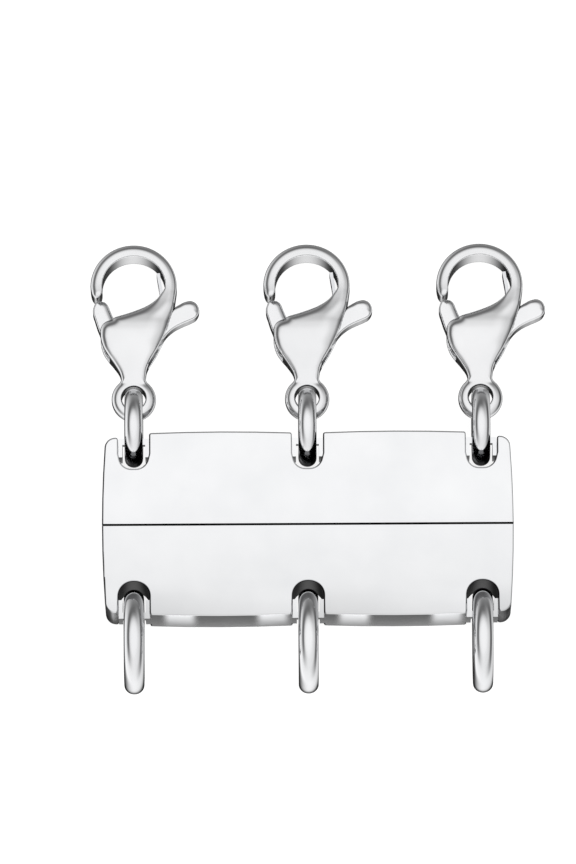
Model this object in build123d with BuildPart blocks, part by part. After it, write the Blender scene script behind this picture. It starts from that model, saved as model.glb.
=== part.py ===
from build123d import *
from collections import namedtuple
from math import acos, asin, atan2, cos, hypot, radians, sin, sqrt
import os

# Driving sizes in millimetres. X runs along the bar, Y towards the claws, Z out of the front face.
# The origin is the middle of the seam, on the back faces that lie on the table.
bar_half_length = 11.92
bar_half_width = 5.36
bar_thickness = 4.0
bar_corner_radius = 0.62
bar_edge_round = 0.12
bar_end_bow = 0.16
segment_bow = 0.08
end_setback = 0.2
upper_segment_rise = 0.14
seam_gap = 0.13

slot_end_margin = 1.84
slot_pitch = bar_half_length - slot_end_margin
slot_width = 1.8
slot_depth = 2.04
upper_slot_end_width = 1.36
upper_slot_corner_radius = 0.7
lower_slot_corner_radius = 0.85
slot_mouth_round = 0.14
crossbar_reach = 1.15
crossbar_setback = 0.06
crossbar_front_recess = 1.2
crossbar_back_recess = 0.9

core_reach = 0.42
core_thickness = 0.6
ring_seat_clearance = 0.14

magnet_radius = 1.4
magnet_length = 1.8
magnet_clearance = 0.03

upper_ring_diameter = 4.6
upper_ring_wire = 1.0
lower_ring_diameter = 6.1
lower_ring_wire = 1.05
ring_core_gap = 0.04
upper_ring_slack = 0.08
lower_ring_slack = 0.0

claw_droop = 6.5
claw_reach = 9.32
hook_radius = 2.52
hook_width = 0.71
hook_thickness = 1.56
hook_edge_round = 0.22
hook_start_angle = -14
hook_tip_angle = 197
eye_radius = 1.27
eye_hole_radius = 0.65
eye_thickness = 1.0
eye_edge_round = 0.28
eye_wire_gap = 0.125
floor_gap = 0.03

shell_thickness = 2.5
shell_edge_round = 0.42
cavity_width = 1.1

lever_clearance = 0.05
lever_edge_round = 0.16
lever_hub_radius = 0.56
pin_radius = 0.3
pin_clearance = 0.02
pin_seat_depth = 0.24

spring_strip = 0.19
spring_side_gap = 0.06

slot_names = ("left", "middle", "right")
slot_places = [(i - 1) * slot_pitch for i in range(len(slot_names))]

# The two halves of the bar with their rings. The upper slots narrow towards their inner ends.
Half = namedtuple("Half", "name side segment_rise end_width corner_radius diameter wire slack")
halves = [
    Half("upper", 1, upper_segment_rise, upper_slot_end_width, upper_slot_corner_radius,
         upper_ring_diameter, upper_ring_wire, upper_ring_slack),
    Half("lower", -1, 0, slot_width, lower_slot_corner_radius,
         lower_ring_diameter, lower_ring_wire, lower_ring_slack),
]

# Shares of the hook's outer radius (across) and of the claw's reach (along), from the eye centre.
Share = namedtuple("Share", "across along")
pivot = Share(-0.456, 0.3466)
cheek_rim = [
    Share(0.70, 0.717), Share(0.66, 0.68), Share(0.55, 0.632), Share(0.27, 0.584), Share(-0.30, 0.532),
]
cheek_shoulder = [Share(-0.30, 0.532), Share(-0.56, 0.498), Share(-0.72, 0.475), Share(-0.79, 0.43)]
gate_inner = [Share(-0.33, 0.46), Share(-0.47, 0.53), Share(-0.55, 0.59), Share(-0.63, 0.627)]
gate_tip = [Share(-0.63, 0.627), Share(-0.78, 0.640), Share(-0.88, 0.628)]
gate_outer = [Share(-0.88, 0.628), Share(-0.935, 0.585), Share(-0.905, 0.53), Share(-0.80, 0.44)]
tab_top = [
    Share(-0.33, 0.46), Share(0.30, 0.44), Share(0.94, 0.594), Share(1.21, 0.64), Share(1.33, 0.643),
    Share(1.45, 0.627), Share(1.515, 0.585),
]
tab_bottom = [
    Share(1.515, 0.585), Share(1.45, 0.528), Share(1.31, 0.509), Share(0.96, 0.4625),
    Share(0.69, 0.39), Share(0.20, 0.33),
]
# Sections of the cheeks from neck to hook: place, left and right edge, and share of full thickness.
Section = namedtuple("Section", "along left right thickness")
cheek_sections = [
    Section(0.100, -0.285, 0.285, 0.44),
    Section(0.155, -0.310, 0.290, 0.46),
    Section(0.236, -0.490, 0.385, 0.66),
    Section(0.322, -0.700, 0.570, 0.87),
    Section(0.415, -0.770, 0.730, 0.98),
    Section(0.505, -0.790, 0.850, 1.00),
    Section(0.605, -0.770, 0.940, 0.88),
    Section(0.720, -0.700, 1.000, 0.64),
]
cavity_outline = [
    Share(-1.2, 0.295), Share(-0.36, 0.255), Share(0.16, 0.22), Share(1.2, 0.22), Share(1.2, 0.603),
    Share(0.78, 0.603), Share(0.71, 0.65), Share(0.70, 0.71), Share(0.0, 0.69), Share(-0.4, 0.60),
    Share(-1.2, 0.60),
]
spring_line = [
    Share(0.57, 0.815), Share(0.615, 0.74), Share(0.645, 0.676), Share(0.64, 0.633),
    Share(0.59, 0.58), Share(0.495, 0.512),
]


def on_claw(share):
    return (share.across * hook_radius, share.along * claw_reach)


def draw_bar_outline(half):
    """Outline of one half from the front, in steps where the crossbars close the slots."""
    side = half.side
    seam_y = side * seam_gap / 2
    crest_y = side * (bar_half_width + half.segment_rise)
    edge_y = crest_y - side * segment_bow
    corner_y = side * (bar_half_width - end_setback)
    slot_y = side * (bar_half_width - crossbar_setback)
    end_x = bar_half_length - bar_end_bow
    end_y = corner_y - side * bar_corner_radius
    wall = slot_width / 2
    Line((-bar_half_length, seam_y), (bar_half_length, seam_y))
    for turn in (-1, 1):
        end_middle = (turn * (bar_half_length - bar_end_bow / 4), (seam_y + end_y) / 2)
        ThreePointArc((turn * bar_half_length, seam_y), end_middle, (turn * end_x, end_y))
        corner = (turn * (end_x - bar_corner_radius), corner_y)
        RadiusArc((turn * end_x, end_y), corner, -side * turn * bar_corner_radius)
        last_wall = turn * (slot_pitch + wall)
        Line(corner, (last_wall, corner_y))
        Line((last_wall, corner_y), (last_wall, slot_y))
    for x in slot_places:
        Line((x - wall, slot_y), (x + wall, slot_y))
    for x in slot_places[:-1]:
        left, right = x + wall, x + slot_pitch - wall
        Line((left, slot_y), (left, edge_y))
        ThreePointArc((left, edge_y), ((left + right) / 2, crest_y), (right, edge_y))
        Line((right, edge_y), (right, slot_y))


def make_slot_plan(half, reach):
    """The slots seen from the front, from their inner ends out to the given distance."""
    slot_end = bar_half_width - slot_depth
    taper_end = bar_half_width - crossbar_reach
    wall, end_wall = slot_width / 2, half.end_width / 2
    right = [(end_wall, slot_end), (wall, reach)]
    if end_wall < wall and reach > taper_end:
        right.insert(1, (wall, taper_end))
    left = [(-across, along) for across, along in reversed(right)]
    with BuildSketch() as plan:
        with Locations(*[(x, 0) for x in slot_places]):
            Polygon(*[(across, half.side * along) for across, along in right + left], align=None)
        ends = [v for v in vertices() if abs(v.Y) < slot_end + half.corner_radius / 2]
        fillet(ends, radius=half.corner_radius)
    return plan.sketch


def slot_mouths():
    """The corners of the current sketch where the slots open in the bar's long edge."""
    mouth_back = bar_half_width - crossbar_reach / 2
    wall = slot_width / 2
    return [
        v for v in vertices()
        if any(abs(abs(v.X - x) - wall) < slot_mouth_round / 2 for x in slot_places)
        and abs(v.Y) > mouth_back
    ]


def make_bar(half):
    """One half of the bar, on the positive or the negative side of the seam."""
    side = half.side
    slot_end = bar_half_width - slot_depth
    crossbar_inner = bar_half_width - crossbar_reach
    crossbar_front = bar_thickness - crossbar_front_recess
    crossbar_back = crossbar_back_recess
    core_inner = bar_half_width - core_reach
    core_back = crossbar_front - core_thickness
    seat_width = max(upper_ring_wire, lower_ring_wire) + 2 * ring_seat_clearance
    open_slots = make_slot_plan(half, bar_half_width + bar_corner_radius)
    wells = make_slot_plan(half, crossbar_inner)
    with BuildPart() as bar:
        # Behind and in front of the crossbars each slot is open to the long edge.
        for level, height in ((0, crossbar_back), (crossbar_front, crossbar_front_recess)):
            with BuildSketch(Plane.XY.offset(level)):
                with BuildLine():
                    draw_bar_outline(half)
                make_face()
                add(open_slots, mode=Mode.SUBTRACT)
                fillet(slot_mouths(), radius=slot_mouth_round)
            extrude(amount=height)

        # Between them the crossbar leaves a well inside it, and has a notch where the ring sits.
        with BuildSketch(Plane.XY.offset(crossbar_back)):
            with BuildLine():
                draw_bar_outline(half)
            make_face()
            add(wells, mode=Mode.SUBTRACT)
            notch_end = (slot_end + crossbar_inner) / 2
            notch = core_inner - notch_end
            with Locations(*[(x, side * (notch_end + notch / 2)) for x in slot_places]):
                Rectangle(seat_width, notch, mode=Mode.SUBTRACT)
        extrude(amount=crossbar_front - crossbar_back)
        with BuildSketch(Plane.XY.offset(crossbar_back)):
            with Locations(*[(x, side * bar_half_width) for x in slot_places]):
                Rectangle(seat_width, 2 * core_reach)
        extrude(amount=core_back - crossbar_back, mode=Mode.SUBTRACT)

        flats = faces().filter_by(Axis.Z).sort_by(Axis.Z)
        rims = [e for e in flats[-1].edges() + flats[0].edges() if abs(e.center().Y) > seam_gap]
        fillet(rims, radius=bar_edge_round)

        # Blind pockets in the mating face hold the magnets.
        mating_face = Plane(
            origin=(0, side * seam_gap / 2, bar_thickness / 2),
            x_dir=(1, 0, 0),
            z_dir=(0, side, 0),
        )
        with BuildSketch(mating_face):
            with Locations((-slot_pitch / 2, 0), (slot_pitch / 2, 0)):
                Circle(magnet_radius + magnet_clearance)
        extrude(amount=magnet_length + 2 * magnet_clearance, mode=Mode.SUBTRACT)
    return bar


def make_magnet(x, side):
    face = Plane(
        origin=(x, side * (seam_gap / 2 + magnet_clearance), bar_thickness / 2),
        x_dir=(1, 0, 0),
        z_dir=(0, side, 0),
    )
    with BuildPart() as magnet:
        with BuildSketch(face):
            Circle(magnet_radius)
        extrude(amount=magnet_length)
    return magnet


def ring_centre_y(diameter, wire, slack):
    """Distance of a ring's centre from the seam: taut on the core's far corner, less its slack."""
    inner_radius = diameter / 2 - wire - ring_core_gap
    crossbar_front = bar_thickness - crossbar_front_recess
    rise = max(abs(crossbar_front - diameter / 2), abs(crossbar_front - core_thickness - diameter / 2))
    return bar_half_width - core_reach + sqrt(inner_radius ** 2 - rise ** 2) - slack


def make_ring(x, y, diameter, wire):
    """A closed ring that stands on the table, square to the bar's long edge."""
    centre = (x, y, diameter / 2)
    with BuildPart() as ring:
        with BuildSketch(Plane(origin=centre)):
            with Locations((0, (diameter - wire) / 2)):
                Circle(wire / 2)
        revolve(axis=Axis(centre, (1, 0, 0)))
    return ring


def claw_eye_place():
    """Distance of the claw eye from the ring's centre, and the eye's height above the table."""
    hook_half = hook_thickness / 2
    droop = radians(claw_droop)
    height = floor_gap + hook_half * cos(droop) + (claw_reach - hook_width / 2) * sin(droop)
    wire_circle = (upper_ring_diameter - upper_ring_wire) / 2
    fall = asin((upper_ring_diameter / 2 - height) / wire_circle)
    slack = eye_hole_radius - upper_ring_wire / 2 - eye_wire_gap
    return wire_circle * cos(fall) + slack, height


def claw_plane(x):
    """A claw's own frame: its eye at the origin, its hook along +Y, drooping to the table."""
    reach, height = claw_eye_place()
    y = ring_centre_y(upper_ring_diameter, upper_ring_wire, upper_ring_slack) + reach
    droop = radians(claw_droop)
    return Plane(origin=(x, y, height), x_dir=(1, 0, 0), z_dir=(0, sin(droop), cos(droop)))


def section_plane(frame):
    return Plane(origin=frame.origin, x_dir=frame.x_dir, z_dir=-frame.y_dir)


def make_claw_body(frame):
    """Hook, two cheeks, neck and eye in one piece, with a slot between the cheeks."""
    hook_centre = (0, claw_reach - hook_radius)
    hook_middle = hook_radius - hook_width / 2
    with BuildPart() as body:
        # The cheeks are lofted as one block from the neck to the hook, and the loop is cut out of it.
        for section in cheek_sections:
            left, right = section.left * hook_radius, section.right * hook_radius
            with BuildSketch(section_plane(frame).offset(-section.along * claw_reach)):
                with Locations(((left + right) / 2, 0)):
                    RectangleRounded(right - left, section.thickness * shell_thickness, shell_edge_round)
        loft()
        with BuildSketch(frame.offset(-shell_thickness)):
            with BuildLine():
                rim = Spline(*[on_claw(s) for s in cheek_rim])
                shoulder = Spline(*[on_claw(s) for s in cheek_shoulder])
                far_left, far_up = -hook_radius * 1.5, claw_reach
                Polyline(
                    shoulder @ 1, (far_left, (shoulder @ 1).Y), (far_left, far_up),
                    ((rim @ 0).X, far_up), rim @ 0,
                )
            make_face()
        extrude(amount=2 * shell_thickness, mode=Mode.SUBTRACT)

        # The hook is a round arc of flat bar with rounded edges.
        start = radians(hook_start_angle)
        across, along = cos(start), sin(start)
        hook_start = Plane(
            origin=frame.from_local_coords((hook_middle * across, hook_centre[1] + hook_middle * along, 0)),
            x_dir=frame.from_local_coords((across, along, 0)) - frame.origin,
            z_dir=frame.from_local_coords((along, -across, 0)) - frame.origin,
        )
        with BuildSketch(hook_start):
            RectangleRounded(hook_width, hook_thickness, hook_edge_round)
        hook_axis = Axis(frame.from_local_coords((0, hook_centre[1], 0)), frame.z_dir)
        revolve(axis=hook_axis, revolution_arc=hook_tip_angle - hook_start_angle)

        # The eye is a flat ring with well rounded edges.
        with BuildSketch(section_plane(frame)):
            with Locations(((eye_radius + eye_hole_radius) / 2, 0)):
                RectangleRounded(eye_radius - eye_hole_radius, eye_thickness, eye_edge_round)
        revolve(axis=Axis(frame.origin, frame.z_dir))

        # The slot between the cheeks takes the lever, and its pin sits in a blind bore in each cheek.
        with BuildSketch(frame.offset(-cavity_width / 2)):
            Polygon(*[on_claw(s) for s in cavity_outline], align=None)
        extrude(amount=cavity_width, mode=Mode.SUBTRACT)
        with BuildSketch(frame.offset(-cavity_width / 2 - pin_seat_depth)):
            with Locations(on_claw(pivot)):
                Circle(pin_radius + pin_clearance)
        extrude(amount=cavity_width + 2 * pin_seat_depth, mode=Mode.SUBTRACT)
    return body


def hub_touch(place, turn):
    """Where a straight edge from the given place touches the lever's round hub."""
    hub = on_claw(pivot)
    across, along = place[0] - hub[0], place[1] - hub[1]
    angle = atan2(along, across) + turn * acos(lever_hub_radius / hypot(across, along))
    return (hub[0] + lever_hub_radius * cos(angle), hub[1] + lever_hub_radius * sin(angle))


def make_claw_lever(frame):
    """Gate and thumb tab in one piece, which turns on the pin between the cheeks."""
    lever_width = cavity_width - 2 * lever_clearance
    with BuildPart() as lever:
        with BuildSketch(frame.offset(-lever_width / 2)):
            with BuildLine():
                Spline(*[on_claw(s) for s in gate_inner])
                Spline(*[on_claw(s) for s in gate_tip])
                Spline(*[on_claw(s) for s in gate_outer])
                hub_side = hub_touch(on_claw(gate_outer[-1]), 1)
                hub_foot = hub_touch(on_claw(tab_bottom[-1]), -1)
                Line(on_claw(gate_outer[-1]), hub_side)
                RadiusArc(hub_side, hub_foot, -lever_hub_radius)
                Line(hub_foot, on_claw(tab_bottom[-1]))
                Spline(*[on_claw(s) for s in tab_bottom])
                Spline(*[on_claw(s) for s in tab_top])
            make_face()
            with Locations(on_claw(pivot)):
                Circle(pin_radius + pin_clearance, mode=Mode.SUBTRACT)
        extrude(amount=lever_width)
        ends = faces().filter_by(lambda f: abs(f.normal_at().dot(frame.z_dir)) > cos(radians(1)))
        rims = [edge for end in ends for edge in end.outer_wire().edges()]
        fillet(rims, radius=lever_edge_round)
    return lever


def make_claw_pin(frame):
    length = cavity_width + 2 * pin_seat_depth - 2 * pin_clearance
    with BuildPart() as pin:
        with BuildSketch(frame.offset(-length / 2)):
            with Locations(on_claw(pivot)):
                Circle(pin_radius)
        extrude(amount=length)
    return pin


def make_claw_spring(frame):
    """Flat strip beside the hook's inner side, which runs down into the slot over the lever."""
    width = cavity_width - 2 * spring_side_gap
    with BuildPart() as spring:
        with BuildSketch(frame.offset(-width / 2)):
            with BuildLine():
                Spline(*[on_claw(s) for s in spring_line])
            trace(line_width=spring_strip)
        extrude(amount=width)
    return spring


def write(piece, name):
    piece.part.label = name
    export_step(piece.part, "parts/" + name + ".step")


os.makedirs("parts", exist_ok=True)
for half in halves:
    centre_y = ring_centre_y(half.diameter, half.wire, half.slack)
    print(half.name, "ring centre y", centre_y)
    write(make_bar(half), half.name + "_bar")
    for name, x in (("left", -slot_pitch / 2), ("right", slot_pitch / 2)):
        write(make_magnet(x, half.side), half.name + "_magnet_" + name)
    for name, x in zip(slot_names, slot_places):
        write(make_ring(x, half.side * centre_y, half.diameter, half.wire), half.name + "_ring_" + name)

for name, x in zip(slot_names, slot_places):
    frame = claw_plane(x)
    write(make_claw_body(frame), "claw_" + name + "_body")
    write(make_claw_lever(frame), "claw_" + name + "_lever")
    write(make_claw_pin(frame), "claw_" + name + "_pin")
    write(make_claw_spring(frame), "claw_" + name + "_spring")

hub = claw_plane(0).from_local_coords((*on_claw(pivot), 0))
print("middle lever pivot", hub, "axis", -claw_plane(0).z_dir)
print("claw eye", claw_plane(0).origin)
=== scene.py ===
import math

import bpy
import numpy as np
from mathutils import Matrix, Vector


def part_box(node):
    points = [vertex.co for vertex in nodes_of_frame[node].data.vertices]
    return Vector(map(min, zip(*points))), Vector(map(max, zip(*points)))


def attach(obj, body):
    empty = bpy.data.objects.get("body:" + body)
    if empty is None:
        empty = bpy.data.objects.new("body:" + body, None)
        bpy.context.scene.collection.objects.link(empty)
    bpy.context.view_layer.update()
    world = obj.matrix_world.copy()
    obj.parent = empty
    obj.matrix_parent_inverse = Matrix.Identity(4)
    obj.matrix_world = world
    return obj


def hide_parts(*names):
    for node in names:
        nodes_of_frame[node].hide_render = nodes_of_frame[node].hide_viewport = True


MM = 0.001
SIDES = ("left", "middle", "right")

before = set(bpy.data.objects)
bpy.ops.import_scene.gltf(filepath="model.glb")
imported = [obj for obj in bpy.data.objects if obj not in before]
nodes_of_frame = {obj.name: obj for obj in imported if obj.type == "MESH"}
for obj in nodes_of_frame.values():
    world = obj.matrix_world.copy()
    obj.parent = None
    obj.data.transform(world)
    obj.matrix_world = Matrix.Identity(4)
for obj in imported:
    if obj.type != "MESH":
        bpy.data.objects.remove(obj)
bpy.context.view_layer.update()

# The claws lie with their eye here and their hook end down on the table (millimetres, degrees).
EYE_Y = 7.77633
EYE_Z = 1.81985
DROOP = math.radians(6.5)

# In a claw's own plane, from the middle of its eye: how far the hook reaches and half its width, the eye
# and its hole, the lever's pivot and bore, and half the height of eye, lever and slot.
REACH = 9.32
HOOK = 2.52
EYE_RADIUS = 1.29
HOLE_RADIUS = 0.69
PIVOT_X = -1.15
PIVOT_Y = 3.23
BORE_RADIUS = 0.32
HALF_EYE = 0.5
HALF_LEVER = 0.5
HALF_SLOT = 0.55


def smooth_line(points, count):
    """A centripetal Catmull-Rom line through the points, with about count samples to a millimetre."""
    p = np.asarray(points, float)
    p = np.vstack([2 * p[0] - p[1], p, 2 * p[-1] - p[-2]])
    out = []
    for i in range(1, len(p) - 2):
        a, b, c, d = p[i - 1], p[i], p[i + 1], p[i + 2]
        t0 = 0.0
        t1 = t0 + np.linalg.norm(b - a) ** 0.5
        t2 = t1 + np.linalg.norm(c - b) ** 0.5
        t3 = t2 + np.linalg.norm(d - c) ** 0.5
        n = max(2, int(np.linalg.norm(c - b) * count))
        t = np.linspace(t1, t2, n, endpoint=False)[:, None]
        ab = (t1 - t) / (t1 - t0) * a + (t - t0) / (t1 - t0) * b
        bc = (t2 - t) / (t2 - t1) * b + (t - t1) / (t2 - t1) * c
        cd = (t3 - t) / (t3 - t2) * c + (t - t2) / (t3 - t2) * d
        abc = (t2 - t) / (t2 - t0) * ab + (t - t0) / (t2 - t0) * bc
        bcd = (t3 - t) / (t3 - t1) * bc + (t - t1) / (t3 - t1) * cd
        out.append((t2 - t) / (t2 - t1) * abc + (t - t1) / (t2 - t1) * bcd)
    out.append(p[-2][None])
    return np.vstack(out)


def arc(centre, radius, start, end, count=26):
    """Points on an arc, angles in degrees."""
    n = max(3, int(abs(math.radians(end - start)) * radius * count))
    t = np.radians(np.linspace(start, end, n))
    return np.stack([centre[0] + radius * np.cos(t), centre[1] + radius * np.sin(t)], 1)


def outline_distance(flat, outline):
    """Signed distance of points in the plane to a closed outline, negative inside."""
    a = outline
    b = np.roll(outline, -1, axis=0)
    ab = b - a
    length = (ab ** 2).sum(1)
    keep = length > 1e-12
    a, b, ab, length = a[keep], b[keep], ab[keep], length[keep]
    out = np.empty(len(flat))
    for s in range(0, len(flat), 4000):
        px, py = flat[s:s + 4000, 0, None], flat[s:s + 4000, 1, None]
        ax, ay = px - a[:, 0], py - a[:, 1]
        t = np.clip((ax * ab[:, 0] + ay * ab[:, 1]) / length, 0, 1)
        d = np.sqrt(((ax - t * ab[:, 0]) ** 2 + (ay - t * ab[:, 1]) ** 2).min(1))
        low = a[:, 1] <= py
        crosses = low != (b[:, 1] <= py)
        side = ab[:, 0] * ay - ax * ab[:, 1]
        turns = (crosses & (low == (side > 0))).sum(1)
        out[s:s + 4000] = d * np.where(turns % 2 == 1, -1.0, 1.0)
    return out


class Plan:
    """An outline's signed distance, kept on a fine grid and read back smoothly."""

    def __init__(self, outline, step=0.035, margin=0.5):
        self.step = step
        self.low = outline.min(0) - margin
        self.counts = np.ceil((outline.max(0) + margin - self.low) / step).astype(int) + 1
        axes = [self.low[i] + step * np.arange(self.counts[i]) for i in (0, 1)]
        gx, gy = np.meshgrid(*axes, indexing="ij")
        flat = np.stack([gx.ravel(), gy.ravel()], 1)
        self.table = outline_distance(flat, outline).reshape(self.counts)

    def __call__(self, x, y):
        if x.ndim == 3:
            return self(x[..., 0], y[..., 0])[..., None]
        u = np.clip((x - self.low[0]) / self.step, 1, self.counts[0] - 2.001)
        v = np.clip((y - self.low[1]) / self.step, 1, self.counts[1] - 2.001)
        i, j = u.astype(int), v.astype(int)
        u, v = u - i, v - j
        out = 0
        for a, wa in enumerate(self.weights(u)):
            for b, wb in enumerate(self.weights(v)):
                out = out + wa * wb * self.table[np.minimum(i + a - 1, self.counts[0] - 1),
                                                 np.minimum(j + b - 1, self.counts[1] - 1)]
        return out

    @staticmethod
    def weights(t):
        """Cubic B-spline weights, which also even out the outline's small facets."""
        return (
            (1 - t) ** 3 / 6, (3 * t ** 3 - 6 * t ** 2 + 4) / 6,
            (-3 * t ** 3 + 3 * t ** 2 + 3 * t + 1) / 6, t ** 3 / 6,
        )


def crown(depth, width, steep, power):
    """How far a face has dropped at a depth inside its outline, and how steeply it falls there."""
    u = np.clip(1 - depth / width, 0, 1.25)
    fall = math.tan(math.radians(steep))
    return fall * width / power * u ** power, fall * u ** (power - 1)


def along(y, table):
    """A value read at y from a short table of places and values, eased between them."""
    places, values = (np.array(v, float) for v in zip(*table))
    i = np.clip(np.searchsorted(places, y) - 1, 0, len(places) - 2)
    t = eased((y - places[i]) / (places[i + 1] - places[i]))
    return values[i] + (values[i + 1] - values[i]) * t


def eased(t):
    """Nought to one, eased at both ends."""
    t = np.clip(t, 0, 1)
    return t * t * (3 - 2 * t)


def join(a, b, k):
    """Both shapes in one, blended where they meet."""
    h = np.clip(0.5 + 0.5 * (b - a) / k, 0, 1)
    return b + (a - b) * h - k * h * (1 - h)


def both(a, b, k):
    """What lies inside both shapes, with their meeting edge rounded."""
    return -join(-a, -b, k)


def cut(a, b, k):
    """The first shape less the second, with the new edge rounded."""
    return -join(-a, b, k)


def shell(field, low, high, cell, steps=9, evening=0.4):
    """Closed quad mesh of the surface where the field is nought, with its exact normals."""
    low, high = np.array(low, float), np.array(high, float)
    counts = np.ceil((high - low) / cell).astype(int) + 1
    axes = [low[i] + cell * np.arange(counts[i]) for i in range(3)]
    gx, gy, gz = np.meshgrid(*axes, indexing="ij")
    values = field(gx, gy, gz)
    inside = values < 0
    corners = [(i, j, k) for i in (0, 1) for j in (0, 1) for k in (0, 1)]

    def part(array, c):
        return array[c[0]:counts[0] - 1 + c[0], c[1]:counts[1] - 1 + c[1], c[2]:counts[2] - 1 + c[2]]

    # One vertex in each cell that the surface crosses, at the mean of the crossings on its edges.
    total = sum(part(inside, c).astype(int) for c in corners)
    active = (total > 0) & (total < 8)
    where = np.argwhere(active)
    index = -np.ones(active.shape, int)
    index[active] = np.arange(len(where))
    place = np.zeros((len(where), 3))
    hits = np.zeros(len(where))
    for c in corners:
        for axis in range(3):
            if c[axis]:
                continue
            d = list(c)
            d[axis] = 1
            va = values[tuple((where + c).T)]
            vb = values[tuple((where + d).T)]
            crossing = (va < 0) != (vb < 0)
            t = np.where(crossing, va / np.where(crossing, va - vb, 1), 0)
            point = where + np.array(c, float)
            point[:, axis] += t
            place[crossing] += point[crossing]
            hits[crossing] += 1
    verts = low + cell * place / hits[:, None]

    # One quad round each grid edge that the surface crosses.
    quads = []
    for axis in range(3):
        u, v = (axis + 1) % 3, (axis + 2) % 3
        first = [slice(None)] * 3
        second = [slice(None)] * 3
        first[axis] = slice(0, -1)
        second[axis] = slice(1, None)
        a, b = inside[tuple(first)], inside[tuple(second)]
        edges = np.argwhere(a != b)
        room = np.all((edges[:, [u, v]] > 0), axis=1)
        edges = edges[room]
        outward = inside[tuple(edges.T)]
        ring = []
        for du, dv in ((-1, -1), (0, -1), (0, 0), (-1, 0)):
            q = edges.copy()
            q[:, u] += du
            q[:, v] += dv
            ring.append(index[tuple(q.T)])
        ring = np.stack(ring, 1)
        ring[~outward] = ring[~outward][:, ::-1]
        quads.append(ring)
    quads = np.vstack(quads)

    def slope(p, h=0.012):
        g = np.empty_like(p)
        for i in range(3):
            step = np.zeros(3)
            step[i] = h
            g[:, i] = (field(*(p + step).T) - field(*(p - step).T)) / (2 * h)
        return g

    # The vertices are brought onto the surface, by half a cell a step at most, and evened out along it.
    near = np.vstack([np.roll(quads, turn, axis=1) for turn in range(4)])
    for step in range(steps):
        g = slope(verts)
        size = np.maximum((g ** 2).sum(1), 0.05)
        value = field(*verts.T)
        move = -(value / size)[:, None] * g
        length = np.maximum(np.linalg.norm(move, axis=1), 1e-9)
        verts = verts + move * np.minimum(1, 0.5 * cell / length)[:, None]
        if step < steps - 2:
            total = np.zeros_like(verts)
            count = np.zeros(len(verts))
            np.add.at(total, near[:, 0], verts[near[:, 1]])
            np.add.at(count, near[:, 0], 1)
            verts = verts + evening * (total / count[:, None] - verts)
    g = slope(verts)
    normals = g / np.maximum(np.linalg.norm(g, axis=1), 1e-9)[:, None]
    return verts, quads, normals


def make_piece(name, verts, faces, normals, place=None):
    """A smooth mesh piece from millimetres in a frame of its own."""
    verts = np.asarray(verts, float)
    normals = np.asarray(normals, float)
    if place is not None:
        turn = np.array(place.to_3x3())
        verts = verts @ turn.T + np.array(place.translation)
        normals = normals @ turn.T
    mesh = bpy.data.meshes.new(name)
    mesh.from_pydata((verts * MM).tolist(), [], np.asarray(faces).tolist())
    mesh.polygons.foreach_set("use_smooth", [True] * len(mesh.polygons))
    mesh.normals_split_custom_set_from_vertices(normals.tolist())
    mesh.update()
    piece = bpy.data.objects.new(name, mesh)
    bpy.context.scene.collection.objects.link(piece)
    return piece


# Materials


def add_node(tree, kind, **values):
    """A node with its settings or its inputs filled in by name."""
    node = tree.nodes.new(kind)
    for key, value in values.items():
        if hasattr(node, key):
            setattr(node, key, value)
        else:
            node.inputs[key.replace("_", " ")].default_value = value
    return node


def number(tree, operation, a, b=None, c=None):
    """A Math node with sockets or plain numbers for its inputs."""
    node = add_node(tree, "ShaderNodeMath", operation=operation)
    for socket, value in zip(node.inputs, (a, b, c)):
        if isinstance(value, (int, float)):
            socket.default_value = value
        elif value is not None:
            tree.links.new(value, socket)
    return node.outputs["Value"]


def ranged(tree, value, low, high, first=0.0, last=1.0, kind="SMOOTHSTEP"):
    """A value carried from one range to another and held at its ends."""
    node = add_node(tree, "ShaderNodeMapRange", interpolation_type=kind)
    for name, amount in (("From Min", low), ("From Max", high), ("To Min", first), ("To Max", last)):
        node.inputs[name].default_value = amount
    tree.links.new(value, node.inputs["Value"])
    return node.outputs["Result"]


def blended(tree, share, a, b):
    """a where the share is nought and b where it is one."""
    return number(tree, "MULTIPLY_ADD", share, number(tree, "SUBTRACT", b, a), a)


def scaled(tree, colour, amount):
    """The colour made darker or lighter by an amount."""
    node = add_node(tree, "ShaderNodeVectorMath", operation="SCALE")
    tree.links.new(colour, node.inputs[0])
    tree.links.new(amount, node.inputs["Scale"])
    return node.outputs["Vector"]


def noise(tree, vector, scale, detail, roughness):
    """Noise read at a place."""
    node = add_node(tree, "ShaderNodeTexNoise", Scale=scale, Detail=detail, Roughness=roughness)
    tree.links.new(vector, node.inputs["Vector"])
    return node.outputs["Fac"]


def ramp(tree, value, stops):
    """A ramp through stops of a place from nought to one and a colour."""
    node = add_node(tree, "ShaderNodeValToRGB")
    for _ in stops[2:]:
        node.color_ramp.elements.new(0.5)
    for element, (at, colour) in zip(node.color_ramp.elements, stops):
        element.position = at
        element.color = (*colour, 1)
    tree.links.new(value, node.inputs["Fac"])
    return node.outputs["Color"]


def parted(tree, vector):
    """A vector's three parts."""
    node = add_node(tree, "ShaderNodeSeparateXYZ")
    tree.links.new(vector, node.inputs["Vector"])
    return node.outputs


# The bar's length from slot to slot and its height, in millimetres.
SLOT_PITCH = 10.08
BAR_THICKNESS = 4.0
# The polished face's painted shade, a tone by millimetres from the seam, with the lower half below nought.
FACE_PAINTED_SHADE = [(-5.4, 0.78), (-4.83, 0.83), (-4.47, 0.86), (-3.88, 0.90), (-3.0, 0.93), (-2.1, 0.945),
             (-0.3, 0.97), (1.5, 1.0)]
# Over each pitch from left to right that painted tone also rises, from this much under it to this much
# over it. This begins at one place on the lower half and is full at the other.
SWAY = 0.085
SWAY_BEGINS = -3.3
SWAY_FULL = -4.5
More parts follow.
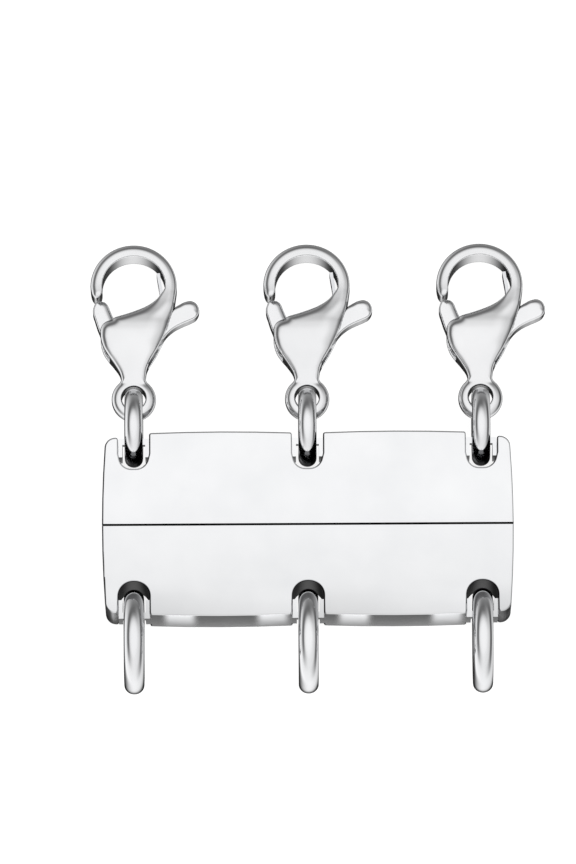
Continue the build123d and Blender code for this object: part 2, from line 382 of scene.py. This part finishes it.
# Painted shade lies from just inside the lower edge to a little past the seam, and comes and goes over
# these.
PAINTED_SHADE_BEGINS = (-5.33, -5.15)
PAINTED_SHADE_ENDS = (0.3, 1.0)
# The walls' patches of painted sheen: how far from a slot, how far off centre, where they fade, and the
# even painted sheen that they turn into at the table.
SHEEN_FROM_SLOT = 2.35
SHEEN_SHIFT = 0.3
SHEEN_FADES = (0.45, 1.3)
SHEEN_AT_TABLE = 0.35
# The walls' painted shade and added roughness, and what the painted sheen adds to each.
WALL_PAINTED_SHADE = 0.46
PAINTED_SHEEN_LIGHT = 1.08
WALL_MATT = 0.08
SHEEN_MATT = 0.40
# What is left of the tone on walls that face left, a painted shade.
LEFT_PAINTED_SHADE = 0.06
# Over these parts of its normal a surface stops being a wall, and a wall that faces left.
WALL_ENDS = (0.10, 0.45)
LEFT_ENDS = (-0.55, -0.2)
# Over these it comes to look up and towards the claws, and its painted shade ends.
LOOKS_UP = (0.5, 0.7)
LOOKS_TO_CLAWS = (0.2, 0.5)


def painted_shade_places(tree, y, up, out):
    """One where the bar gets painted shade: the seam and lower slots, less faces that look up or to the
    claws.
    """
    along_bar = number(tree, "MULTIPLY", ranged(tree, y, *[v * MM for v in PAINTED_SHADE_BEGINS]),
                       ranged(tree, y, *[v * MM for v in PAINTED_SHADE_ENDS], 1.0, 0.0))
    walls = number(tree, "MULTIPLY", ranged(tree, out, *LOOKS_UP, 1.0, 0.0),
                   ranged(tree, up, *LOOKS_TO_CLAWS, 1.0, 0.0))
    return number(tree, "MULTIPLY", walls, along_bar)


def wall_painted_sheen(tree, x, z):
    """Soft patches of painted sheen either side of each slot, turning into an even sheen at the table."""
    shifted = number(tree, "SUBTRACT", x, SHEEN_SHIFT * MM)
    from_slot = number(tree, "PINGPONG", shifted, SLOT_PITCH / 2 * MM)
    away = number(tree, "ABSOLUTE", number(tree, "SUBTRACT", from_slot, SHEEN_FROM_SLOT * MM))
    patch = ranged(tree, away, *[v * MM for v in SHEEN_FADES], 1.0, 0.0, "SMOOTHERSTEP")
    height = ranged(tree, z, 0.0, BAR_THICKNESS * MM, kind="LINEAR")
    return blended(tree, height, SHEEN_AT_TABLE, patch)


def face_painted_shade(tree, x, y):
    """The polished face's painted shade, dimmer towards the lower edge and from slot to slot."""
    low, high = FACE_PAINTED_SHADE[0][0], FACE_PAINTED_SHADE[-1][0]
    stops = [((at - low) / (high - low), (value, value, value)) for at, value in FACE_PAINTED_SHADE]
    dim = ramp(tree, ranged(tree, y, low * MM, high * MM, kind="LINEAR"), stops)
    run = number(tree, "WRAP", x, SLOT_PITCH * MM, 0.0)
    run = number(tree, "MULTIPLY_ADD", run, 2 / (SLOT_PITCH * MM), -1.0)
    sway = ranged(tree, y, SWAY_FULL * MM, SWAY_BEGINS * MM, SWAY, 0.0)
    return number(tree, "MULTIPLY_ADD", run, sway, dim)


def bar_painted_light_and_polish(tree, coords):
    """Where a bar gets painted shade in recesses, the painted shade and sheen on each place, how upright it
    is, and how matt its walls are.
    """
    right, up, out = parted(tree, coords.outputs["Normal"])
    x, y, z = parted(tree, coords.outputs["Object"])
    upright = ranged(tree, number(tree, "ABSOLUTE", out), *WALL_ENDS, 1.0, 0.0)
    # Patches of painted sheen on the walls, which also make the walls rougher there.
    painted_sheen = wall_painted_sheen(tree, x, z)
    # The walls' colour: painted shade, lifted by painted sheen in the patches.
    wall_painted_shade_and_sheen = number(tree, "MULTIPLY_ADD", painted_sheen, PAINTED_SHEEN_LIGHT, WALL_PAINTED_SHADE)
    matt = number(tree, "MULTIPLY_ADD", painted_sheen, SHEEN_MATT, WALL_MATT)
    # The face gets painted shade, and the walls painted shade with painted sheen.
    painted_light_and_shade = blended(tree, upright, face_painted_shade(tree, x, y), wall_painted_shade_and_sheen)
    # Walls that face left get a painted shade.
    left_painted_shade = ranged(tree, right, *LEFT_ENDS, LEFT_PAINTED_SHADE, 1.0)
    return painted_shade_places(tree, y, up, out), number(tree, "MULTIPLY", painted_light_and_shade, left_painted_shade), upright, matt


# Noise scales are per metre, and heights are in metres.
CLOUDS = 260.0
HAZE = 700.0
RIPPLES = 420.0
# Noise mostly lies between the first two values, and hairlines are its peaks, between the others.
MIDST = (0.3, 0.7)
PEAKS = (0.60, 0.78)
RIPPLE_HEIGHT = 0.0000016
SCRATCH_HEIGHT = 0.0000004
LENGTHWISE = (9000.0, 700.0, 2500.0)
ACROSS_STRIP = (14000.0, 14000.0, 900.0)
# Where the worn colour begins and is full, by how sharp a place is, how much of it sharp edges get, and how
# much lighter it is.
SHARP = (0.58, 0.72)
WEAR = 0.35
WEAR_LIGHTER = 1.06
# What is left of the colour where the painted shade in recesses is deepest.
DEEPEST_PAINTED_SHADE = 0.02
# What full hairlines add to the roughness.
SCUFF = 0.05


def hairlines(tree, coords, brushed):
    """Fine lines along the way that a piece was brushed."""
    stretch = add_node(tree, "ShaderNodeMapping")
    stretch.inputs["Scale"].default_value = brushed
    tree.links.new(coords.outputs["Object"], stretch.inputs["Vector"])
    return ranged(tree, noise(tree, stretch.outputs["Vector"], 1.0, detail=2.0, roughness=0.6), *PEAKS)


def worn(tree, colour, light):
    """The colour, a little lighter on sharp edges."""
    edge = add_node(tree, "ShaderNodeNewGeometry")
    share = number(tree, "MULTIPLY", ranged(tree, edge.outputs["Pointiness"], *SHARP), WEAR)
    # A Mix node has its colours at the sixth and seventh inputs and the second output, from nought.
    mixed = add_node(tree, "ShaderNodeMix", data_type="RGBA")
    tree.links.new(share, mixed.inputs["Factor"])
    tree.links.new(colour, mixed.inputs[6])
    mixed.inputs[7].default_value = (*[min(1, v * WEAR_LIGHTER) for v in light], 1)
    return mixed.outputs[2]


def painted_recess_shade(tree, reach, closed, open_enough):
    """How little painted shade a place gets, from its openness within a reach."""
    hollow = add_node(tree, "ShaderNodeAmbientOcclusion", samples=8)
    hollow.inputs["Distance"].default_value = reach
    return ranged(tree, hollow.outputs["AO"], closed, open_enough, DEEPEST_PAINTED_SHADE, 1.0)


def buffed(tree, coords, lines, grain, marks):
    """The surface's slight ripple and its scratches."""
    wave = add_node(tree, "ShaderNodeBump", Strength=1.0, Distance=RIPPLE_HEIGHT * grain)
    ripple = noise(tree, coords.outputs["Object"], RIPPLES, detail=1.0, roughness=0.4)
    tree.links.new(ripple, wave.inputs["Height"])
    scratch = add_node(tree, "ShaderNodeBump", Strength=1.0, Distance=SCRATCH_HEIGHT * marks)
    scratch.invert = True
    tree.links.new(lines, scratch.inputs["Height"])
    tree.links.new(wave.outputs["Normal"], scratch.inputs["Normal"])
    return scratch.outputs["Normal"]


def metal(name, dark, light, smooth, rough, grain=0.5, brushed=LENGTHWISE, marks=0.5, recess=None,
          bar=False):
    """Polished metal: clouded polish, fine hairlines, worn edges, painted shade in recesses and a slight
    ripple.
    """
    mat = bpy.data.materials.new(name)
    mat.use_nodes = True
    tree = mat.node_tree
    tree.nodes.clear()
    out = add_node(tree, "ShaderNodeOutputMaterial")
    steel = add_node(tree, "ShaderNodeBsdfPrincipled")
    steel.inputs["Metallic"].default_value = 1.0
    tree.links.new(steel.outputs["BSDF"], out.inputs["Surface"])
    coords = add_node(tree, "ShaderNodeTexCoord")
    lines = hairlines(tree, coords, brushed)

    cloud = noise(tree, coords.outputs["Object"], CLOUDS, detail=4.0, roughness=0.55)
    colour = ramp(tree, cloud, list(zip(MIDST, (dark, light))))
    haze = noise(tree, coords.outputs["Object"], HAZE, detail=5.0, roughness=0.6)
    polish = ranged(tree, haze, *MIDST, smooth, rough, "LINEAR")
    roughness = number(tree, "MULTIPLY_ADD", lines, SCUFF * marks, polish)
    # Painted shade: the colour darkens where a place is closed in, as shade falls in recesses.
    unshaded = painted_recess_shade(tree, *recess) if recess else None
    # On the bar: painted shade in the seam and lower slots, painted shade and sheen in its colour, and
    # rougher walls.
    if bar:
        painted_shade_mask, painted_light_and_shade, upright, matt = bar_painted_light_and_polish(tree, coords)
        # On the bar the painted shade in recesses is kept to the seam and the lower slots.
        unshaded = blended(tree, painted_shade_mask, 1.0, unshaded)
        colour = scaled(tree, colour, painted_light_and_shade)
        roughness = number(tree, "MULTIPLY_ADD", upright, matt, roughness)
    else:
        # The bar's faces are single large facets, so worn edges are only drawn on the other pieces.
        colour = worn(tree, colour, light)
    # The painted shade in recesses darkens the colour.
    if unshaded is not None:
        colour = scaled(tree, colour, unshaded)
    tree.links.new(colour, steel.inputs["Base Color"])
    tree.links.new(roughness, steel.inputs["Roughness"])
    tree.links.new(buffed(tree, coords, lines, grain, marks), steel.inputs["Normal"])
    return mat


# A recess is how far the painted shade looks for walls, in metres, and how open a place is when it is
# fully shaded and when it is left unshaded.
bar_steel = metal(
    "bar_polished_steel", dark=(0.60, 0.605, 0.615), light=(0.64, 0.643, 0.65), smooth=0.035, rough=0.075,
    grain=0.35, recess=(0.0024, 0.6, 1.0), bar=True,
)
ring_steel = metal(
    "ring_polished_steel", dark=(0.57, 0.575, 0.585), light=(0.62, 0.622, 0.63), smooth=0.05, rough=0.11,
    grain=0.8,
)
claw_steel = metal(
    "claw_polished_steel", dark=(0.57, 0.572, 0.58), light=(0.62, 0.622, 0.628), smooth=0.07, rough=0.14,
    grain=0.8, recess=(0.0007, 0.15, 0.6),
)
lever_steel = metal(
    "lever_polished_steel", dark=(0.59, 0.592, 0.60), light=(0.64, 0.642, 0.65), smooth=0.06, rough=0.13,
    grain=0.8,
)
pin_steel = metal(
    "pin_steel", dark=(0.50, 0.505, 0.52), light=(0.58, 0.585, 0.60), smooth=0.16, rough=0.3, marks=1.5,
)
spring_steel = metal(
    "spring_strip_steel", dark=(0.52, 0.525, 0.54), light=(0.60, 0.605, 0.62), smooth=0.14, rough=0.26,
    brushed=ACROSS_STRIP, marks=1.5, recess=(0.0006, 0.15, 0.6),
)
magnet_plating = metal(
    "magnet_nickel", dark=(0.56, 0.545, 0.52), light=(0.64, 0.62, 0.59), smooth=0.12, rough=0.24,
    marks=1.5,
)


def dress(piece, material):
    """Gives a piece its one material."""
    piece.data.materials.clear()
    piece.data.materials.append(material)


def claw_place(x):
    """Where a claw lies, with its eye at x along the bar."""
    c, s = math.cos(DROOP), math.sin(DROOP)
    return Matrix(((1, 0, 0, x), (0, c, s, EYE_Y), (0, -s, c, EYE_Z), (0, 0, 0, 1)))


# Rings: slightly oval wire where the CAD rings stand, this wide along the bar in millimetres.
WIRE_WIDTH = {"upper": 1.06, "lower": 1.16}


def make_ring(name, low, high, width, around=160, across=56):
    """A closed ring of slightly oval wire, as wide along the bar as given."""
    low, high = np.array(low) / MM, np.array(high) / MM
    centre = (low + high) / 2
    wire = (high - low)[0]
    middle = (high - low)[2] / 2 - wire / 2
    a = np.linspace(0, 2 * math.pi, around, endpoint=False)[:, None]
    b = np.linspace(0, 2 * math.pi, across, endpoint=False)[None, :]
    normal = np.stack([
        np.broadcast_to(np.sin(b), (around, across)), np.cos(a) * np.cos(b), np.sin(a) * np.cos(b)
    ], -1)
    spine = np.stack([0 * a, np.cos(a), np.sin(a)], -1) * middle
    oval = np.array([width / wire, 1.0, 1.0])
    verts = centre + spine + normal * oval * wire / 2
    normal = normal / oval
    normal = normal / np.linalg.norm(normal, axis=-1, keepdims=True)
    i = np.arange(around)[:, None] * across
    j = np.arange(across)[None, :]
    i2 = (np.arange(around)[:, None] + 1) % around * across
    j2 = (j + 1) % across
    faces = np.stack([i + j, i2 + j, i2 + j2, i + j2], -1).reshape(-1, 4)
    return make_piece(name, verts.reshape(-1, 3), faces, normal.reshape(-1, 3))


for half, wire_width in WIRE_WIDTH.items():
    for side in SIDES:
        node = f"{half}_ring_{side}"
        ring = make_ring(f"{half}_jump_ring_{side}", *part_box(node), wire_width)
        dress(ring, ring_steel)
        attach(ring, f"{half}_half")
        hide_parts(node)

# Claws: one casting for the body, with a slot between its cheeks, and one for the lever.
body_outline = np.vstack([
    smooth_line([
        (0.64, 0.90), (0.68, 1.15), (0.71, 1.42), (0.76, 1.74), (0.97, 2.22), (1.38, 2.93), (1.73, 3.64),
        (1.93, 4.12), (2.13, 4.71), (2.33, 5.48), (2.43, 6.05), (2.50, 6.54),
    ], 22)[:-1],
    arc((0.0, 6.80), 2.515, -5.9, 180),
    smooth_line([(-2.515, 6.80), (-2.49, 6.55), (-2.41, 6.25), (-2.28, 6.08), (-2.13, 6.03)], 40)[1:],
    smooth_line([
        (-1.30, 4.70), (-1.60, 4.57), (-1.80, 4.40), (-1.92, 4.15), (-1.94, 3.86), (-1.91, 3.49),
        (-1.76, 3.00), (-1.47, 2.52), (-1.12, 2.03), (-0.83, 1.55), (-0.73, 1.22), (-0.68, 0.90),
    ], 22)[:-1],
])
loop_outline = np.vstack([
    smooth_line([(-2.13, 6.03), (-1.98, 6.12), (-1.86, 6.32), (-1.82, 6.55), (-1.83, 6.75)], 40)[:-1],
    arc((0.0, 6.75), 1.83, 180, -4),
    smooth_line([
        (1.822, 6.62), (1.70, 6.40), (1.55, 6.18), (1.38, 5.96), (1.09, 5.71), (0.68, 5.46), (0.10, 5.21),
        (-0.48, 5.00), (-0.98, 4.84), (-1.30, 4.70),
    ], 22),
    np.array([(-1.9, 4.85), (-2.7, 5.3), (-2.7, 5.6)]),
])
cavity_outline = np.array([
    (-1.2, 0.295), (-0.36, 0.255), (0.16, 0.22), (1.2, 0.22), (1.2, 0.603), (0.78, 0.603),
    (0.71, 0.65), (0.70, 0.71), (0.0, 0.69), (-0.4, 0.60), (-1.2, 0.60),
]) * (HOOK, REACH)
thickness_line = smooth_line([
    (0.0, 0.55), (0.93, 0.56), (1.44, 0.62), (2.00, 0.78), (2.60, 0.97), (3.20, 1.12), (3.80, 1.19),
    (4.30, 1.17), (4.80, 1.10), (5.40, 0.99), (6.00, 0.89), (6.60, 0.815), (7.20, 0.785), (9.40, 0.78),
], 30)
# The widths and the power of the body's crown, at its outside and at its loop, by millimetres from the eye.
OUTER_WIDTH = [(0.9, 0.40), (2.4, 0.55), (3.4, 0.85), (4.8, 0.85), (6.4, 0.46), (9.5, 0.46)]
INNER_WIDTH = [(5.0, 0.62), (6.3, 0.16), (6.9, 0.08), (9.5, 0.08)]
OUTER_POWER = [(1.0, 2.8), (3.0, 3.6), (5.0, 3.4), (6.6, 2.4)]
# How steep each crowned face is at its edge, in degrees, and the power that it falls with.
BODY_STEEP = 50
INNER_POWER = 3.6
EYE_STEEP = 58
EYE_POWER = 2.9
HOLE_STEEP = 45
HOLE_POWER = 2.5
LEVER_STEEP = 58
LEVER_POWER = 3.0
# How wide the crowns are, and how much wider the eye's is on its right and the lever's at its upper right.
EYE_CROWN = 0.50
EYE_CROWN_RIGHT = 0.12
HOLE_CROWN = 0.12
LEVER_CROWN = 0.15
LEVER_CROWN_RIGHT = 0.32
# How far the edges are rounded, in millimetres.
BODY_EDGE = 0.10
LOOP_EDGE = 0.06
EYE_EDGE = 0.08
EYE_FILLET = 0.20
HOLE_EDGE = 0.06
SLOT_EDGE = 0.05
LEVER_EDGE = 0.07
BORE_EDGE = 0.04
# On the thumb side the body's crown is this share wider, and falls with this share less power.
THUMB_WIDER = 0.45
THUMB_SOFTER = 0.2


def claw_field(x, y, z):
    """Distance to a claw's casting, about true near its surface and negative inside."""
    outside, opening = body_plan(x, y), loop_plan(x, y)
    half = np.interp(y, thickness_line[:, 0], thickness_line[:, 1])
    thumb = eased(x / 1.2 + 0.2) * eased((y - 1.9) / 1.6) * eased((5.8 - y) / 1.2)
    wide = along(y, OUTER_WIDTH) * (1 + THUMB_WIDER * thumb)
    power = along(y, OUTER_POWER) * (1 - THUMB_SOFTER * thumb)
    drop, steep = crown(-outside, wide, BODY_STEEP, power)
    inner_drop, inner_steep = crown(opening, along(y, INNER_WIDTH), BODY_STEEP, INNER_POWER)
    fallen = (drop ** 4 + inner_drop ** 4) ** 0.25
    face = (np.abs(z) - half + fallen) / np.sqrt(1 + steep ** 2 + inner_steep ** 2)
    body = cut(both(outside, face, BODY_EDGE), opening, LOOP_EDGE)
    radius = np.hypot(x, y)
    eye_crown = EYE_CROWN + EYE_CROWN_RIGHT * eased(x + 0.5)
    eye_drop, eye_steep = crown(EYE_RADIUS - radius, eye_crown, EYE_STEEP, EYE_POWER)
    hole_drop, hole_steep = crown(radius - HOLE_RADIUS, HOLE_CROWN, HOLE_STEEP, HOLE_POWER)
    eye_face = np.abs(z) - HALF_EYE + eye_drop + hole_drop
    eye_face = eye_face / np.sqrt(1 + eye_steep ** 2 + hole_steep ** 2)
    eye = both(radius - EYE_RADIUS, eye_face, EYE_EDGE)
    whole = join(body, eye, EYE_FILLET)
    whole = cut(whole, radius - HOLE_RADIUS, HOLE_EDGE)
    slot = np.maximum(cavity_plan(x, y), np.abs(z) - HALF_SLOT)
    return cut(whole, slot, SLOT_EDGE)


lever_outline = np.vstack([
    smooth_line([
        (-0.83, 4.29), (-0.98, 4.60), (-1.18, 4.95), (-1.37, 5.42), (-1.50, 5.74), (-1.68, 5.92),
        (-1.94, 5.97), (-2.15, 5.93), (-2.27, 5.74), (-2.37, 5.44), (-2.36, 5.16), (-2.28, 4.90),
        (-2.11, 4.34), (-1.98, 4.00), (-1.80, 3.45),
    ], 30),
    arc((PIVOT_X, PIVOT_Y), 0.56, 175, 285),
    smooth_line([
        (-0.90, 2.72), (0.50, 3.08), (1.30, 3.40), (1.73, 3.64), (2.02, 3.98), (2.42, 4.31), (2.89, 4.56),
        (3.30, 4.74), (3.62, 4.92), (3.80, 5.20), (3.81, 5.50), (3.66, 5.82), (3.36, 5.98), (3.06, 5.94),
        (2.72, 5.77), (2.37, 5.54), (1.60, 4.75), (0.75, 4.10), (0.0, 3.95), (-0.50, 4.02), (-0.83, 4.29),
    ], 30)[:-1],
])


def lever_field(x, y, z):
    """Distance to a lever, about true near its surface and negative inside."""
    plan = lever_plan(x, y)
    step = 0.03
    right = (lever_plan(x + step, y) - lever_plan(x - step, y)) / (2 * step)
    up = (lever_plan(x, y + step) - lever_plan(x, y - step)) / (2 * step)
    wide = LEVER_CROWN + LEVER_CROWN_RIGHT * eased(0.6 * right + 0.75 * up + 0.25)
    drop, steep = crown(-plan, wide, LEVER_STEEP, LEVER_POWER)
    body = both(plan, (np.abs(z) - HALF_LEVER + drop) / np.sqrt(1 + steep ** 2), LEVER_EDGE)
    bore = np.hypot(x - PIVOT_X, y - PIVOT_Y) - BORE_RADIUS
    return cut(body, bore, BORE_EDGE)


body_plan, loop_plan = Plan(body_outline), Plan(loop_outline)
cavity_plan, lever_plan = Plan(cavity_outline), Plan(lever_outline)
# The mesh's cells, in millimetres.
CELL = 0.065
claw_shell = shell(claw_field, (-2.75, -1.4, -1.35), (2.7, 9.5, 1.35), CELL)
lever_shell = shell(lever_field, (-2.55, 2.5, -0.65), (4.0, 6.15, 0.65), CELL)

for side in SIDES:
    low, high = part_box(f"claw_{side}_pin")
    x = (low[0] + high[0]) / 2 / MM - PIVOT_X
    for shape, name, node, body, material, slot in (
        (claw_shell, "casting", "body", "upper_half", claw_steel, "claw_steel"),
        (lever_shell, "gate", "lever", f"claw_{side}_lever", lever_steel, "lever_steel"),
    ):
        piece = make_piece(f"claw_{side}_{name}", *shape, place=claw_place(x))
        dress(piece, material)
        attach(piece, body)
        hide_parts(f"claw_{side}_{node}")
    dress(nodes_of_frame[f"claw_{side}_pin"], pin_steel)
    dress(nodes_of_frame[f"claw_{side}_spring"], spring_steel)

for half in ("upper", "lower"):
    dress(nodes_of_frame[f"{half}_bar"], bar_steel)
    for side in ("left", "right"):
        dress(nodes_of_frame[f"{half}_magnet_{side}"], magnet_plating)

# Floor: a sheet of pale paper, in metres, a hundredth of a millimetre under the part.
FLOOR_HALF = 2.0
FLOOR_DROP = 0.00001
floor_mesh = bpy.data.meshes.new("floor")
corners = [(x * FLOOR_HALF, y * FLOOR_HALF, 0) for x, y in ((-1, -1), (1, -1), (1, 1), (-1, 1))]
floor_mesh.from_pydata(corners, [], [(0, 1, 2, 3)])
floor = bpy.data.objects.new("floor", floor_mesh)
bpy.context.scene.collection.objects.link(floor)
paper = bpy.data.materials.new("pale_paper")
paper.use_nodes = True
sheet = paper.node_tree.nodes["Principled BSDF"]
sheet.inputs["Base Color"].default_value = (0.30, 0.30, 0.30, 1)
sheet.inputs["Emission Color"].default_value = (1.0, 1.0, 1.0, 1)
sheet.inputs["Emission Strength"].default_value = 0.88
sheet.inputs["Roughness"].default_value = 0.95
sheet.inputs["Specular IOR Level"].default_value = 0.1
dress(floor, paper)
floor.location.z = -FLOOR_DROP
# The metal mirrors the tent below the table's height too, as polished pieces shot on a stand do.
floor.visible_glossy = False

# Studio: a bright tent overhead, dark bands around it that differ by side, and a dark ground below.
world = bpy.data.worlds.new("studio")
bpy.context.scene.world = world
world.use_nodes = True
sky = world.node_tree
sky.nodes.clear()
sky_out = add_node(sky, "ShaderNodeOutputWorld")
back = add_node(sky, "ShaderNodeBackground")
back.inputs["Color"].default_value = (1.0, 1.0, 1.0, 1)
sky.links.new(back.outputs["Background"], sky_out.inputs["Surface"])
towards = add_node(sky, "ShaderNodeTexCoord")
east, north, rise = parted(sky, towards.outputs["Generated"])

# The tent's light by height above the horizon, in degrees, on each of its four sides. A ramp is kept to
# values up to one, so the light goes through it as a share of this peak.
PEAK = 1.6
TENT = {
    "far": [(-90, 0.03), (-60, 0.08), (-30, 0.3), (-8, 0.4), (6, 0.3), (20, 0.22), (30, 0.24), (38, 0.42),
            (46, 0.85), (54, 1.2), (65, 1.43), (90, 1.48)],
    "near": [(-90, 0.08), (-79, 0.25), (-73, 0.4), (-66, 1.1), (-55, 1.4), (-30, 1.5), (0, 1.4), (20, 1.3),
             (40, 1.3), (55, 1.42), (90, 1.48)],
    "left": [(-90, 0.02), (-60, 0.04), (-44, 0.08), (-34, 0.5), (-22, 1.6), (-4, 1.45), (8, 1.25),
             (16, 0.6), (24, 0.2), (34, 0.2), (41, 0.5), (48, 1.05), (57, 1.35), (68, 1.45), (90, 1.48)],
    "right": [(-90, 0.02), (-68, 0.08), (-58, 0.6), (-43, 1.1), (-24, 1.0), (-15, 0.4), (-8, 0.06),
              (4, 0.12), (12, 0.5), (20, 1.0), (30, 1.1), (45, 1.28), (60, 1.45), (90, 1.48)],
}
# The level part of a direction is measured by itself, so the four sides still add up to one overhead.
level = number(sky, "MULTIPLY_ADD", north, north, number(sky, "MULTIPLY", east, east))
flat = number(sky, "SQRT", number(sky, "MAXIMUM", level, 1e-12))
across_tent = number(sky, "DIVIDE", east, flat)
along_tent = number(sky, "DIVIDE", north, flat)
light = None
for side, stops in TENT.items():
    places = [(math.sin(math.radians(height)) + 1) / 2 for height, _ in stops]
    values = [[value / PEAK] * 3 for _, value in stops]
    glow = ramp(sky, number(sky, "MULTIPLY_ADD", rise, 0.5, 0.5), list(zip(places, values)))
    part = along_tent if side in ("far", "near") else across_tent
    sign = 1.0 if side in ("far", "right") else -1.0
    facing = number(sky, "MAXIMUM", number(sky, "MULTIPLY", part, sign), 0.0)
    share = number(sky, "MULTIPLY", number(sky, "MULTIPLY", facing, facing), glow)
    light = share if light is None else number(sky, "ADD", light, share)
sky.links.new(number(sky, "MULTIPLY", light, PEAK), back.inputs["Strength"])

# Camera: above and a little from the lower rings' side, in millimetres and degrees.
TILT = math.radians(10.9)
ROLL = math.radians(0.3)
DISTANCE = 700
PICTURE_HEIGHT = 50.07
SENSOR_HEIGHT = 36
TARGET = Vector((-1.122, 5.424, 4.0))
camera_data = bpy.data.cameras.new("camera")
camera_data.sensor_fit = "VERTICAL"
camera_data.sensor_height = SENSOR_HEIGHT
camera_data.lens = SENSOR_HEIGHT * DISTANCE / PICTURE_HEIGHT
# The clip distances are in metres.
camera_data.clip_start = 0.01
camera_data.clip_end = 20
camera = bpy.data.objects.new("camera", camera_data)
bpy.context.scene.collection.objects.link(camera)
camera.location = TARGET * MM + DISTANCE * MM * Vector((0, -math.sin(TILT), math.cos(TILT)))
camera.rotation_euler = (Matrix.Rotation(TILT, 4, "X") @ Matrix.Rotation(-ROLL, 4, "Z")).to_euler()
bpy.context.scene.camera = camera

bpy.context.scene.view_settings.view_transform = "Standard"
